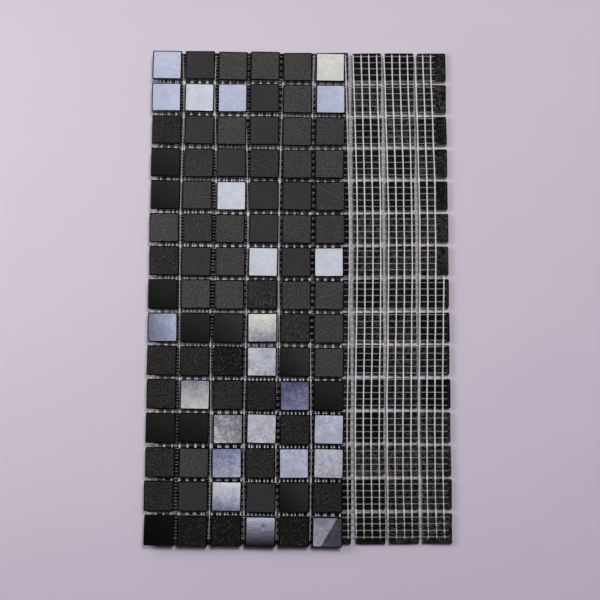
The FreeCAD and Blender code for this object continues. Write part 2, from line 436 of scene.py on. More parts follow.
def pressed_tiles(count):
    """Points of several tiles in their own coordinates: tiles, points, three."""
    softness = chance.uniform(0, 1, (count, 1, 1))
    points = sharp_tile * (1 - softness) + soft_tile * softness
    u, v = points[..., 0] / tile_half, points[..., 1] / tile_half
    bow = chance.uniform(-SIDE_BOW, SIDE_BOW, (2, count, 1))
    wave = chance.uniform(0, 2 * math.pi, (4, count, 1))
    points[..., 0] += side_shape(u, v, bow[0], wave[0])
    points[..., 1] += side_shape(v, u, bow[1], wave[1])
    crown = chance.uniform(0, FACE_CROWN, (count, 1))
    dish = crown * (1 - (1 - u * u) * (1 - v * v))
    ripple = PRESS_WAVE / 4 * (np.sin(3.1 * u + wave[2]) * np.sin(2.7 * v + wave[3]) - 1)
    face = slice(0, SIDE * SIDE)
    points[:, face, 2] += (ripple - dish)[:, face]
    ribs_lie_across = chance.random((count, 1)) < ACROSS_SHARE
    along = np.where(ribs_lie_across, v, u)
    across = np.where(ribs_lie_across, u, v)
    ribs = np.cos(math.pi * RIB_COUNT * (along + 0.05 * np.sin(4 * across + wave[2])) + wave[3])
    to_rim = np.maximum(abs(u), abs(v)) / (1 - SECTION[-1][0] / tile_half)
    fade = np.clip((1 + RIB_FADE - to_rim) / RIB_FADE, 0, 1)
    panel = slice(panel_start, None)
    points[:, panel, 2] -= (RIB_HEIGHT * (1 + ribs) * fade)[:, panel]
    return points, u, v


trial, _, _ = pressed_tiles(3)
print("trial tiles are", np.round(np.ptp(trial, axis=1), 2).tolist(), "mm")

# %% [markdown]
# ## The looks of the glazes
# The upper layer is a mix: most tiles are granular charcoal, some are satin or gloss black, and about one
# in five is a pearl lustre that no two firings make alike. A laying chart with one letter a tile says
# which firing each tile of the upper layer is from, the way a setter would note it.
#
# A look has a tint, and some have a second, low one that takes over towards the foot of the face. A sweep
# makes the right or the upper side lighter; on the gloss looks that lighter side is a painted reflection
# of the room. Cloud and streak are strengths, and rough makes the clouding stronger towards the top of the
# face, or towards its foot where it is below zero. Batch is how far two tiles of the same look may differ.

# %% Name the looks and lay them out


def look(tint, low=None, sweep_and_reflection=(0, 0), cloud=0.1, streak=0, rough=0, batch=0.02, split=0, blister=0):
    """What one firing gives a tile, though on a gloss look the lighter side is a painted reflection. With
    no low tint, the tint is the same down to the foot.
    """
    return {
        "tint": tint,
        "low": low or tint,
        "sweep_and_reflection": sweep_and_reflection,
        "marks": (cloud, streak, rough),
        "batch": batch,
        "split": split,
        "blister": blister,
    }


LOOKS = {
    "m": look((0.0519, 0.0485, 0.0502), cloud=0.4, batch=0.12),
    "n": look((0.0338, 0.0318, 0.0353), cloud=0.6),
    "k": look((0.0453, 0.0420, 0.0416), cloud=0.7),
    "d": look((0.0232, 0.0214, 0.0210), cloud=0.75, batch=0.15),
    "e": look((0.0116, 0.0114, 0.0113), cloud=0.8),
    "r": look((0.0313, 0.0292, 0.0286), cloud=0.7, streak=1.0),
    "f": look((0.0107, 0.0102, 0.0101), cloud=0.9, streak=1.0),
    "s": look((0.0366, 0.0342, 0.0364), cloud=0.5, batch=0.05),
    # The lighter sides of the gloss looks g, j and h are a painted reflection of the room, lighter to the
    # right and upwards.
    "g": look((0.0118, 0.0116, 0.0119), sweep_and_reflection=(0.2, 0.5), batch=0.2),
    "j": look((0.0022, 0.0022, 0.0022), sweep_and_reflection=(0.4, 0.6)),
    "h": look((0.0188, 0.0188, 0.0187), sweep_and_reflection=(0.45, 0.45)),
    "a": look((0.535, 0.572, 0.733), sweep_and_reflection=(0.03, 0.03), cloud=0.5, streak=0.12),
    "i": look((0.665, 0.702, 0.805), sweep_and_reflection=(0.04, 0.02), cloud=0.45, streak=0.08),
    "c": look((0.765, 0.760, 0.712), sweep_and_reflection=(0.02, 0.08), cloud=0.5, streak=0.2),
    "v": look((0.830, 0.820, 0.730), low=(0.270, 0.285, 0.340), cloud=1.4, rough=-0.9),
    "u": look((0.245, 0.245, 0.325), low=(0.680, 0.670, 0.660), cloud=1.6, rough=0.9),
    "x": look((0.240, 0.240, 0.310), low=(0.480, 0.465, 0.495), sweep_and_reflection=(-0.25, 0), cloud=3.2),
    "y": look((0.535, 0.540, 0.635), sweep_and_reflection=(-0.03, 0.05), cloud=1.6, rough=-0.6),
    "o": look((0.525, 0.557, 0.704), sweep_and_reflection=(0.02, 0.08), cloud=1.3, rough=0.5),
    "t": look((0.850, 0.870, 0.960), low=(0.200, 0.208, 0.345), sweep_and_reflection=(0.05, 0), cloud=1.6, rough=-0.9),
    "z": look((0.410, 0.415, 0.550), low=(0, 0, 0), sweep_and_reflection=(-0.05, 0.62), streak=0.9, blister=1),
    "w": look((0.292, 0.292, 0.352), low=(0.418, 0.428, 0.526), cloud=2.2, split=1),
    "b": look((0.315, 0.345, 0.490), sweep_and_reflection=(0.5, 0.1), cloud=1.2, rough=-0.2),
    "q": look((0.105, 0.108, 0.215), low=(0.235, 0.245, 0.385), sweep_and_reflection=(0.12, 0), cloud=3.0, rough=0.5),
    "l": look((0.276, 0.298, 0.495), low=(0.490, 0.520, 0.680), sweep_and_reflection=(0.14, 0), cloud=2.2),
}
UPPER_CHART = [
    "asmmmc",
    "aiasma",
    "dsmsmm",
    "gnsnmm",
    "gmissk",
    "mnmsmm",
    "dsmisi",
    "gmmrkm",
    "bghvrm",
    "ddfyhm",
    "duddqg",
    "ggxydo",
    "dmldoy",
    "dstshd",
    "jefzew",
]
HIDDEN_LOOKS = {
    "granular": "mmmnk",
    "dark_granular": "ddefr",
    "satin": "s",
    "gloss": "gh",
    "pearl": "aicyo",
    "violet": "bql",
}


def looks_of(node):
    """The look letter of each tile of a node. The hidden faces of the lower layer are drawn by lot."""
    layer, finish = node.removesuffix("_tiles").split("_", 1)
    rows, columns = layers[layer]["rows"][node], layers[layer]["columns"][node]
    if layer == "upper":
        return [UPPER_CHART[row][column] for row, column in zip(rows, columns)]
    return list(chance.choice(list(HIDDEN_LOOKS[finish]), len(rows)))


print(len(LOOKS), "looks,", sum(map(len, UPPER_CHART)), "tiles in the chart")

# %% [markdown]
# ## Black glass
# All tiles are the same black glass under their glaze. It shows on the sides, on the worn arris and on
# the backs. The sides are polished and throw a little light down into the joints. On the backs the clear
# glue leaves a grey haze of streaks, which run across or upright as the glue was spread. The haze is made
# by noise, and a stored mark says how strong it is on this back, which way it runs, and whether the point
# is on a polished side.

# %% Make the black glass


def make_black_glass():
    material, tree, shader = start_material("black_glass")
    where = place_on_sheet(tree)
    glued, runs_upright, polished = stored_parts(tree, "panel")
    wander = noise(tree, where, 260, 3)
    across = noise(tree, stretched(tree, where, (300, 1700, 300)), 1.0, 3, 0.6)
    upright = noise(tree, stretched(tree, where, (1700, 300, 300)), 1.0, 3, 0.6)
    streaks = mix_colours(tree, runs_upright, across, upright)
    clear_streaks = between(tree, streaks, 0.42, 0.66, 0, 1)
    blots = between(tree, noise(tree, where, 420, 4, 0.65), 0.4, 0.64, 0.05, 1)
    haze = multiply(tree, clear_streaks, blots, glued)
    glue = mix_colours(tree, wander, (0.075, 0.086, 0.08, 1), (0.11, 0.092, 0.08, 1))
    colour = mix_colours(tree, haze, (0.0035, 0.0035, 0.0035, 1), glue)
    roughness = mix_numbers(tree, polished, between(tree, haze, 0, 1, 0.2, 0.5), 0.08)
    shine = mix_numbers(tree, polished, 0.12, 0.8)
    feed(tree, shader, {"Base Color": colour, "Roughness": roughness, "Specular IOR Level": shine})
    raise_surface(tree, shader, work_out(tree, "ADD", wander, streaks), 0.00005)
    return material


black_glass = make_black_glass()
print("made", black_glass.name)

# %% [markdown]
# ## Granular, satin and gloss glazes
# The charcoal glazes differ in grain. The granular one is matt and full of fine grit, the dark one has
# coarser warm grit on black, the satin one is smooth and even, and the gloss one is bare polished glass
# that mirrors the room, with part of that reflection painted into its tint as a lighter side. They share
# one recipe: the tile's own tint, a grain of fine noise or of slanting streaks, a few lighter grains of
# grit, and a roughness that follows the grain.

# %% Make the charcoal glazes
BLACK = (0, 0, 0, 1)


def tile_tint(tree):
    """The tile's tint, which turns into its low tint down the face and is lighter on one side; on gloss
    tiles that lighter side is a painted reflection.
    """
    right, up, _ = stored_parts(tree, "spot")
    sweep_right, sweep_up, _ = stored_parts(tree, "sweep_and_reflection")
    # On gloss tiles this lift is a painted reflection of the room.
    lift = work_out(tree, "MULTIPLY_ADD", right, sweep_right, 1.0)
    lift = work_out(tree, "MULTIPLY_ADD", up, sweep_up, lift)
    lift = work_out(tree, "MAXIMUM", lift, 0.05)
    down = between(tree, up, 1, -1, 0, 1)
    tint = mix_colours(tree, down, stored(tree, "tint", "Color"), stored(tree, "low_tint", "Color"))
    return scale_colour(tree, tint, lift)


def scatter_grit(tree, where, grain, share):
    """1 inside the few round grains that are picked by this share, and 0 elsewhere."""
    cells = add(tree, "ShaderNodeTexVoronoi", {"Vector": where, "Scale": grain * 0.8, "Randomness": 1.0})
    inside = work_out(tree, "LESS_THAN", cells.outputs["Distance"], 0.33)
    lot = add(tree, "ShaderNodeSeparateColor", {0: cells.outputs["Color"]}).outputs[0]
    return multiply(tree, inside, work_out(tree, "GREATER_THAN", lot, 1.0 - share))


def make_charcoal_glaze(name, grain, contrast, roughness, shine, relief, grit_share=0, grit_colour=BLACK):
    material, tree, shader = start_material(name)
    where = place_on_sheet(tree)
    cloud, streak, _ = stored_parts(tree, "marks")
    fine = noise(tree, where, grain, 3, 0.7)
    streaks = noise(tree, stretched(tree, where, (2600, 500, 800), 0.5), 1.0, 2)
    broad = noise(tree, where, 180, 2)
    grain_or_streaks = swing(tree, mix_colours(tree, streak, fine, streaks), contrast)
    shade = multiply(tree, grain_or_streaks, spread(tree, broad, 0.93, 1.07))
    base = scale_colour(tree, tile_tint(tree), shade)
    grit = multiply(tree, scatter_grit(tree, where, grain, grit_share), cloud)
    colour = mix_colours(tree, grit, base, grit_colour)
    rough = spread(tree, fine, *roughness)
    feed(tree, shader, {"Base Color": colour, "Roughness": rough, "Specular IOR Level": shine})
    raise_surface(tree, shader, work_out(tree, "MULTIPLY_ADD", broad, 3.0, fine), relief)
    return material


glazes = {
    "granular": make_charcoal_glaze(
        "granular_glaze",
        grain=1000,
        contrast=0.95,
        roughness=(0.45, 0.75),
        shine=0.2,
        relief=0.00006,
        grit_share=0.16,
        grit_colour=(0.13, 0.125, 0.12, 1),
    ),
    "dark_granular": make_charcoal_glaze(
        "dark_grit_glaze",
        grain=1100,
        contrast=1.3,
        roughness=(0.3, 0.7),
        shine=0.1,
        relief=0.0001,
        grit_share=0.26,
        grit_colour=(0.088, 0.081, 0.073, 1),
    ),
    "satin": make_charcoal_glaze("satin_glaze", 900, 0.32, (0.42, 0.5), shine=0.2, relief=0.00002),
    "gloss": make_charcoal_glaze("gloss_glaze", 700, 0.08, (0.07, 0.1), shine=0.45, relief=0.000006),
}
print("made", ", ".join(glazes))

# %% [markdown]
# ## Pearl and violet lustres
# A lustre is a metal film fired onto the face. It is bright and slightly metallic, clotted and clouded
# where the film pooled, and streaked where the mould was wiped. Clots, clouds and streaks scale with the
# look, so that clean and blotchy firings share one material.
#
# On one tile the film ends along a slanting line and leaves the glass nearly bare. The stored distance
# from that line lets the material draw it sharply on a coarse mesh. Another tile has a blister. Its dent
# is not in the mesh: the material paints a small shade over a small highlight in its place.

# %% Make the lustres
BARE_GLASS = 0.21
# Where on the face the blister's painted shade and painted highlight sit.
BLISTER_PAINTED_SHADE = (0.18, 0.42, 0)
BLISTER_PAINTED_HIGHLIGHT = (0.18, 0.15, 0)


def near_spot(tree, centre, width, factor):
    """This factor at a place on the tile's face, which fades to 1 away from it."""
    inputs = {0: stored(tree, "spot", "Vector"), 1: centre}
    apart = add(tree, "ShaderNodeVectorMath", inputs, operation="DISTANCE").outputs["Value"]
    return between(tree, apart, 0, width, factor, 1.0)


def make_lustre(name, metal):
    material, tree, shader = start_material(name)
    where = place_on_sheet(tree)
    cloud, streak, rough = stored_parts(tree, "marks")
    _, up, _ = stored_parts(tree, "spot")
    _, _, has_blister = stored_parts(tree, "sweep_and_reflection")
    clots = noise(tree, stretched(tree, where, (520, 640, 300)), 1.0, 4, 0.7)
    clouds = noise(tree, where, 150, 2)
    wiped = noise(tree, stretched(tree, where, (120, 1300, 300)), 1.0, 3, 0.6)
    fine = noise(tree, where, 1300, 2)
    clot_depth = work_out(tree, "MULTIPLY_ADD", cloud, 0.17, 0.01)
    clot_depth = multiply(tree, clot_depth, work_out(tree, "MULTIPLY_ADD", rough, up, 1.0))
    cloud_depth = work_out(tree, "MULTIPLY_ADD", cloud, 0.09, 0.02)
    wipe_depth = work_out(tree, "MULTIPLY_ADD", streak, 0.3, 0.01)
    # A painted shade over a painted highlight stands for the blister's dent catching the light.
    dark, painted_highlight = near_spot(tree, BLISTER_PAINTED_SHADE, 0.2, 0.35), near_spot(tree, BLISTER_PAINTED_HIGHLIGHT, 0.13, 1.9)
    shade = multiply(
        tree,
        swing(tree, clots, clot_depth),
        swing(tree, clouds, cloud_depth),
        swing(tree, wiped, wipe_depth),
        spread(tree, fine, 0.95, 1.05),
        between(tree, stored(tree, "split", "Fac"), -0.03, 0.03, BARE_GLASS, 1.0),
        mix_numbers(tree, has_blister, 1.0, multiply(tree, dark, painted_highlight)),
    )
    base = scale_colour(tree, tile_tint(tree), shade)
    warm = between(tree, noise(tree, where, 120, 2), 0.45, 0.7, 0, 0.22)
    colour = mix_colours(tree, warm, base, (1.0, 0.95, 0.86, 1), "MULTIPLY")
    roughness = spread(tree, clots, 0.3, 0.5)
    feed(tree, shader, {"Base Color": colour, "Roughness": roughness})
    feed(tree, shader, {"Metallic": metal, "Specular IOR Level": 0.3})
    raise_surface(tree, shader, work_out(tree, "ADD", clots, fine), 0.00003)
    return material


glazes["pearl"] = make_lustre("pearl_lustre", metal=0.15)
glazes["violet"] = make_lustre("violet_lustre", metal=0.25)
print("made", len(glazes), "glazes in all")

# %% [markdown]
# ## Dress the tiles
# Each loaded node is replaced by one mesh that holds all its tiles in the same places. The materials need
# to know where on its tile a point is and which look the tile has, so those go into the mesh as marks.
# First the looks of a node's tiles are turned into numbers, each with a little chance of its own.

# %% Turn looks into numbers
MARK_WIDTHS = {"tint": 4, "low_tint": 4, "sweep_and_reflection": 3, "marks": 3, "split": 1}
SWEEP_CHANCE = 0.03
SPLIT_LINE = (-0.863, 0.505, 0.082)


def numbers_of_looks(looks):
    """A row for each tile in each of the marks."""
    numbers = {name: np.zeros((len(looks), width)) for name, width in MARK_WIDTHS.items()}
    for index, letter in enumerate(looks):
        fired = LOOKS[letter]
        firing = chance.uniform(1 - fired["batch"], 1 + fired["batch"])
        numbers["tint"][index] = (*(np.array(fired["tint"]) * firing), 1)
        numbers["low_tint"][index] = (*(np.array(fired["low"]) * firing), 1)
        sweep_and_reflection = fired["sweep_and_reflection"] + chance.uniform(-SWEEP_CHANCE, SWEEP_CHANCE, 2)
        numbers["sweep_and_reflection"][index] = (*sweep_and_reflection, fired["blister"])
        numbers["marks"][index] = fired["marks"]
        numbers["split"][index] = fired["split"]
    return numbers


def side_of_split(u, v):
    """How far a point of the face is from the line where the film of a split tile ends."""
    across, up, start = SPLIT_LINE
    return across * u + up * v + start


print("numbers of a tile:", MARK_WIDTHS)

# %% [markdown]
# Then the pressed tiles are laid where the loaded ones lie, turned the same way. In the lower layer they
# lie face down, so they are turned over about a line across the sheet.

# %% Make one piece for each layer and finish
HAZE = (0.3, 1.4)
UPRIGHT_SHARE = 0.5


def lay_pressed_tiles(node):
    """Points of all tiles of a node where they lie, with u and v across each tile's face."""
    layer = node.split("_")[0]
    points, u, v = pressed_tiles(len(places[node]))
    bottom, top = layers[layer]["heights"]
    looks = looks_of(node)
    if layer == "lower":
        points[..., 1] *= -1
        points[..., 2] = top - points[..., 2]
        v = -v
    else:
        points[..., 2] += bottom
    centre_x, centre_y, turn, _ = (values[:, None] for values in places[node].T)
    x = centre_x + points[..., 0] * np.cos(turn) - points[..., 1] * np.sin(turn)
    y = centre_y + points[..., 0] * np.sin(turn) + points[..., 1] * np.cos(turn)
    return np.stack([x, y, points[..., 2]], axis=2), u, v, looks


def dress_tiles(node):
    layer, finish = node.removesuffix("_tiles").split("_", 1)
    points, u, v, looks = lay_pressed_tiles(node)
    count, size = points.shape[:2]
    faces = template_faces + size * np.arange(count)[:, None, None]
    materials = [black_glass, glazes[finish]]
    glazed = np.tile(template_glazed, count)
    name = f"{layer}_{finish}_glass"
    piece = make_piece(name, points.reshape(-1, 3), faces.reshape(-1, 4), materials, glazed)
    numbers = numbers_of_looks(looks)
    for mark in ("tint", "low_tint", "sweep_and_reflection", "marks"):
        mark_points(piece, mark, np.repeat(numbers[mark], size, axis=0))
    mark_points(piece, "spot", np.stack([u, v, np.zeros_like(u)], axis=2).reshape(-1, 3))
    mark_points(piece, "split", np.where(numbers["split"] > 0, side_of_split(u, v), 1.0).ravel())
    panel = np.zeros((count, size, 3))
    panel[:, glued_start:, 0] = chance.uniform(*HAZE, (count, 1)) ** 2
    panel[:, :, 1] = chance.random((count, 1)) < UPRIGHT_SHARE
    panel[:, side_points, 2] = 1
    mark_points(piece, "panel", panel.reshape(-1, 3))
    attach(piece, "root")
    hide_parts(node)
    return piece


for node in places:
    piece = dress_tiles(node)
    print(piece.name, len(places[node]), "tiles", 2 * len(piece.data.polygons), "triangles")

# %% [markdown]
# ## The glass-fibre net
# The net is an open weave. Its warps are flat double strands, nearly white, and its wefts are single thin
# ones that pass under them and go round the fold from the lower layer to the upper one. Each loaded bar
# says where a thread runs. The thread itself becomes a tube that swells where it crosses another thread
# and wanders a little.

# %% Tubes along threads


def thread_tubes(paths, side, widths, heights, section):
    """Closed tubes along several paths: threads, stations, three. Returns points and quads."""
    threads, stations = paths.shape[:2]
    tangent = np.gradient(paths, axis=1)
    tangent /= np.linalg.norm(tangent, axis=2, keepdims=True)
    up = np.cross(tangent, side)
    up /= np.linalg.norm(up, axis=2, keepdims=True)
    across = np.cross(up, tangent)
    points = (
        paths[:, :, None]
        + across[:, :, None] * (section[:, :1] * widths[:, :, None, None])
        + up[:, :, None] * (section[:, 1:] * heights[:, :, None, None])
    )
    size = len(section)
    ring = np.arange(stations - 1)[:, None] * size
    first, second = ring + np.arange(size), ring + (np.arange(size) + 1) % size
    walls = np.stack([first, second, second + size, first + size], axis=2).reshape(-1, 4)
    half = np.arange(size // 2 - 1)
    cap = np.stack([half, half + 1, size - 2 - half, size - 1 - half], axis=1)
    one_thread = np.concatenate([walls, cap[:, ::-1], cap + (stations - 1) * size])
    quads = one_thread + (np.arange(threads) * stations * size)[:, None, None]
    return points.reshape(-1, 3), quads.reshape(-1, 4)


def thread_marks(along, section, glue):
    """How far along and across its thread each point is, and how much glue there is."""
    marks = np.broadcast_arrays(along[..., None], section[:, 0], glue[..., None])
    return np.stack(marks, axis=-1).reshape(-1, 3)


def ring_section(count, waist=0.0):
    """A flat oval section, from -0.5 to 0.5 both ways. Waist is how far its middle is pinched in."""
    angle = 2 * math.pi * (np.arange(count) + 0.5) / count
    across = 0.5 * np.cos(angle)
    up = 0.5 * np.sign(np.sin(angle)) * np.abs(np.sin(angle)) ** 0.6
    return np.stack([across, up * (1 - waist * (1 - np.abs(across) * 2))], axis=1)


def wander_along(threads, along, size, lengths):
    """A slow random wander for each thread, as a sum of a few waves."""
    total = np.zeros((threads, along.shape[-1]))
    for length in lengths:
        phase = chance.uniform(0, 2 * math.pi, (threads, 1))
        strength = chance.uniform(0.3, 1.0, (threads, 1)) * size / len(lengths)
        total += strength * np.sin(2 * math.pi * along / length + phase)
    return total


warp_bars = {layer: solids_of(f"{layer}_net_warps") for layer in LAYER_COLUMNS}
weft_bars = solids_of("net_wefts")
weft_rows = np.sort([bar[:, 1].mean() for bar in weft_bars])
weft_spacing = np.diff(weft_rows).mean()
for layer, bars in warp_bars.items():
    print(len(bars), layer, "warps")
print(len(weft_bars), "wefts, one every", round(weft_spacing, 2), "mm")

# %% [markdown]
# The net took a bow when it was glued, and the fold turns that bow round in the upper layer. Warps are
# wide, dry and white where they hang free in a joint, and narrow and grey where glue holds them to glass.
# The glue is strongest on the last rows, where only the crossings stay dry.
#
# Only the stretch of the net beside the upper layer is in plain view. The rest shows through joints two
# millimetres wide, so its threads have fewer points. That keeps the net under two hundred thousand
# triangles with the visible threads round and waisted.

# %% Weave the warps
NET_BOW = 1.15
NET_BOW_TOP_ROW = 5.0
NET_BOW_ROWS = 14.5
UPPER_NET_SHIFT = -1.0
UPPER_NET_STRETCH = 0.0095
FOLD_EASE = 22.0
WARP_WIDTH_IN_SIGHT = 0.82
WARP_WIDTH_AT_TILES = 0.55
WARP_WIDTH_IN_JOINTS = 1.05
THREAD_THICKNESS = 0.25
WARP_WANDER = 0.28
WARP_END = 0.45
CROSSING_SWELL = 0.06
TAIL = 1.4
STATIONS_A_CELL = 3
STATIONS_OF_A_ROW = np.array([0.05, 0.28, 0.409, 0.431, 0.569, 0.591, 0.72])
BELOW_THE_LAST_TILE = 5
HALF_JOINT = 1.5
JOINT_EDGE = 0.5
LAST_ROWS_FROM = 11
LAST_ROWS_OVER = 3
SIGHT_MARGIN = 3.0
GLUE_AT_TILES = {"lower": 0.35, "upper": 0.12}
GLUE_IN_SIGHT = 0.1
GLUE_ON_LAST_ROWS = 0.48
DRY_CROSSINGS = 0.85

lower_grid, upper_grid = layers["lower"], layers["upper"]
row_pitch = abs(lower_grid["row_step"][1])
upper_slope = upper_grid["column_step"][1] / upper_grid["column_step"][0]


def lower_row(y):
    """The row of the lower layer at this height, counted from 0 at the top. Joints are at the halves."""
    return (lower_grid["origin"][1] - y) / row_pitch


def upper_row(x, y):
    """The same count for the upper layer, whose rows slope a little."""
    return (upper_grid["origin"][1] + upper_slope * (x - upper_grid["origin"][0]) - y) / row_pitch


def in_joint(row):
    """1 in the joints of a layer and 0 at its tiles."""
    from_middle = abs(row % 1 - 0.5) * row_pitch
    return np.clip((HALF_JOINT + JOINT_EDGE - from_middle) / JOINT_EDGE, 0, 1)


def in_last_rows(x, y):
    """0 down to the first of the last rows, and up to 1 a few rows further down."""
    return np.clip((upper_row(x, y) - LAST_ROWS_FROM) / LAST_ROWS_OVER, 0, 1)


def from_fold(x):
    """0 at the fold, and up to 1 about a column further in."""
    return np.clip((x - measured_low.x / MM) / FOLD_EASE, 0, 1)


def net_bow(y):
    """How far the net bows to the right of the tiles at this height up the rows."""
    return NET_BOW * np.cos(2 * math.pi * (lower_row(y) - NET_BOW_TOP_ROW) / NET_BOW_ROWS)


def net_shift(x, y, layer):
    """How far the net moved sideways when it was glued, in either layer."""
    if layer == "lower":
        return net_bow(y)
    return from_fold(x) * (UPPER_NET_SHIFT + UPPER_NET_STRETCH * x - net_bow(y))


def warp_line(bar):
    """The middles of the foot and the head of a warp's bar."""
    middle = bar[:, 1].mean()
    return bar[bar[:, 1] < middle].mean(axis=0), bar[bar[:, 1] > middle].mean(axis=0)


def even_heights(foot, head):
    """A few stations for each weft that a warp crosses."""
    length = head[..., 1] - foot[..., 1]
    count = int(length.max() / weft_spacing * STATIONS_A_CELL) + 1
    return foot[..., 1] + length * np.linspace(0, 1, count)


def joint_heights(foot, head):
    """Stations on both sides of each joint's edges, and a few under each tile."""
    rows = (np.arange(ROWS)[:, None] + STATIONS_OF_A_ROW).ravel()[:-BELOW_THE_LAST_TILE]
    shift = upper_slope * (foot[..., 0] - upper_grid["origin"][0])
    inner = upper_grid["origin"][1] + shift - rows[::-1] * row_pitch
    return np.concatenate([foot[..., 1], inner, head[..., 1]], axis=1)


def weave_warps(bars, layer, section, tucked):
    """All warps of one kind, foot to head."""
    lines = np.array([warp_line(bar) for bar in bars])
    foot, head = lines[:, :1], lines[:, 1:]
    y = joint_heights(foot, head) if tucked else even_heights(foot, head)
    share = ((y - foot[..., 1]) / (head - foot)[..., 1])[..., None]
    paths = foot + (head - foot) * share
    paths[..., 0] += net_shift(paths[..., 0], y, layer)
    paths[..., 0] += wander_along(len(bars), y, WARP_WANDER, (46, 83, 190))
    crossing = np.cos(2 * math.pi * (y - weft_rows[0]) / weft_spacing)
    to_end = np.minimum(y - foot[..., 1], head[..., 1] - y)
    taper = np.clip(WARP_END + (1 - WARP_END) * to_end / TAIL, WARP_END, 1)
    girth = 1 + wander_along(len(bars), y, 0.12, (9.5, 31))
    last = in_last_rows(paths[..., 0], y)
    if tucked:
        free = in_joint(upper_row(paths[..., 0], y))
        width_at_tiles = WARP_WIDTH_AT_TILES
        glue = GLUE_AT_TILES[layer] + GLUE_ON_LAST_ROWS / 2 * last
    else:
        free = in_joint(lower_row(y))
        width_at_tiles = WARP_WIDTH_IN_SIGHT
        glue = GLUE_IN_SIGHT + GLUE_ON_LAST_ROWS * last * (1 - DRY_CROSSINGS * crossing)
    width = width_at_tiles + (WARP_WIDTH_IN_JOINTS - width_at_tiles) * free
    glue = glue * (1 - free)
    widths = width * taper * girth * (1 + CROSSING_SWELL * crossing)
    heights = THREAD_THICKNESS * (1.05 + 0.1 * crossing) * np.sqrt(taper)
    points, quads = thread_tubes(paths, np.array([1.0, 0, 0]), widths, heights, section)
    return points, quads, thread_marks(y, section, glue)


upper_right_edge = max(places[node][:, 0].max() for node in upper_grid["rows"]) + tile_half
sight_edge = upper_right_edge - SIGHT_MARGIN
in_view = [bar for bar in warp_bars["lower"] if bar[:, 0].mean() > sight_edge]
tucked_in = [bar for bar in warp_bars["lower"] if bar[:, 0].mean() <= sight_edge]
strands = [
    weave_warps(in_view, "lower", ring_section(8, 0.35), tucked=False),
    weave_warps(tucked_in, "lower", ring_section(6), tucked=True),
    weave_warps(warp_bars["upper"], "upper", ring_section(6), tucked=True),
]
print(len(in_view), "warps in view,", len(tucked_in), "tucked in")

# %% [markdown]
# A weft's bar gives its two ends and its turn at the fold. The thread runs from the free edge of the lower
# layer to the fold, turns back on a half circle and runs on under the upper layer. There it lies about
# half a spacing off the lower threads. One more weft closes the net at its bottom edge, a spacing below
# the last bar. Wefts are grey with glue all along, and greyest in the joints.

# %% Weave the wefts
WEFT_WIDTH = 0.5
UPPER_WEFT_SHIFT = 2.1
WEFT_GLUE_IN_SIGHT = 0.68
WEFT_GLUE_AT_TILES = 0.62
WEFT_GLUE_IN_JOINTS = 0.9
WEFT_WANDER = 0.22
WEFT_END = 0.4
SEEN_STATIONS = 43
HIDDEN_STATIONS = 26
FOLD_STATIONS = 7


def weft_path(bar):
    """Points along one weft's bar, from the lower free end round the fold to the upper free end."""
    middle_z = (bar[:, 2].min() + bar[:, 2].max()) / 2
    below, above = bar[bar[:, 2] < middle_z - 0.05], bar[bar[:, 2] > middle_z + 0.05]
    lower_end = below[below[:, 0] > below[:, 0].max() - 1e-3].mean(axis=0)
    upper_end = above[above[:, 0] > above[:, 0].max() - 1.0].mean(axis=0)
    fold = bar[bar[:, 0] < bar[:, 0].min() + 1e-3].mean(axis=0)
    radius = (upper_end[2] - lower_end[2]) / 2
    turn_x = fold[0] + radius
    seen = np.linspace(lower_end[0], sight_edge, SEEN_STATIONS)
    hidden_below = np.linspace(sight_edge, turn_x, HIDDEN_STATIONS)[1:]
    angle = np.linspace(0, math.pi, FOLD_STATIONS + 2)[1:-1]
    hidden_above = np.linspace(turn_x, upper_end[0], HIDDEN_STATIONS + 1)
    x = np.concatenate([seen, hidden_below, turn_x - radius * np.sin(angle), hidden_above])
    low = np.full(len(seen) + len(hidden_below), lower_end[2])
    high = np.full(len(hidden_above), upper_end[2])
    z = np.concatenate([low, fold[2] - radius * np.cos(angle), high])
    slope = (upper_end[1] - fold[1]) / (upper_end[0] - fold[0])
    y = np.where(z > fold[2], fold[1] + slope * (x - fold[0]), lower_end[1])
    return np.stack([x, y, z], axis=1)


def weave_wefts():
    """All wefts from the top down, with the closing one last."""
    from_top = sorted(weft_bars, key=lambda bar: -bar[:, 1].mean())
    paths = np.array([weft_path(bar) for bar in from_top])
    closing = paths[-1:] - np.array([0, weft_spacing, 0])
    paths = np.concatenate([paths, closing])
    turn_height = (paths[..., 2].min() + paths[..., 2].max()) / 2
    ease = np.where(paths[..., 2] > turn_height, from_fold(paths[..., 0]), 0)
    paths[:-1, :, 1] -= UPPER_WEFT_SHIFT * ease[:-1]
    run = np.cumsum(np.abs(np.diff(paths[..., 0], axis=1, prepend=paths[:, :1, 0])), axis=1)
    paths[..., 1] += wander_along(len(paths), run, WEFT_WANDER, (24, 57, 131))
    girth = 1 + wander_along(len(paths), run, 0.25, (7, 17))
    to_end = np.minimum(run, run[:, -1:] - run)
    taper = np.clip(WEFT_END + (1 - WEFT_END) * to_end / TAIL, WEFT_END, 1)
    widths = WEFT_WIDTH * girth * taper
    heights = np.full_like(widths, THREAD_THICKNESS)
    section = ring_section(6)
    points, quads = thread_tubes(paths, np.array([0, -1.0, 0]), widths, heights, section)
    along_joint = in_joint(upper_row(paths[..., 0], paths[..., 1]))
    glue = WEFT_GLUE_AT_TILES + (WEFT_GLUE_IN_JOINTS - WEFT_GLUE_AT_TILES) * along_joint
    glue = np.where(paths[..., 0] > upper_right_edge, WEFT_GLUE_IN_SIGHT, glue)
    return points, quads, thread_marks(run, section, glue)


strands.append(weave_wefts())
print("net", 2 * sum(len(quads) for _, quads, _ in strands), "triangles")
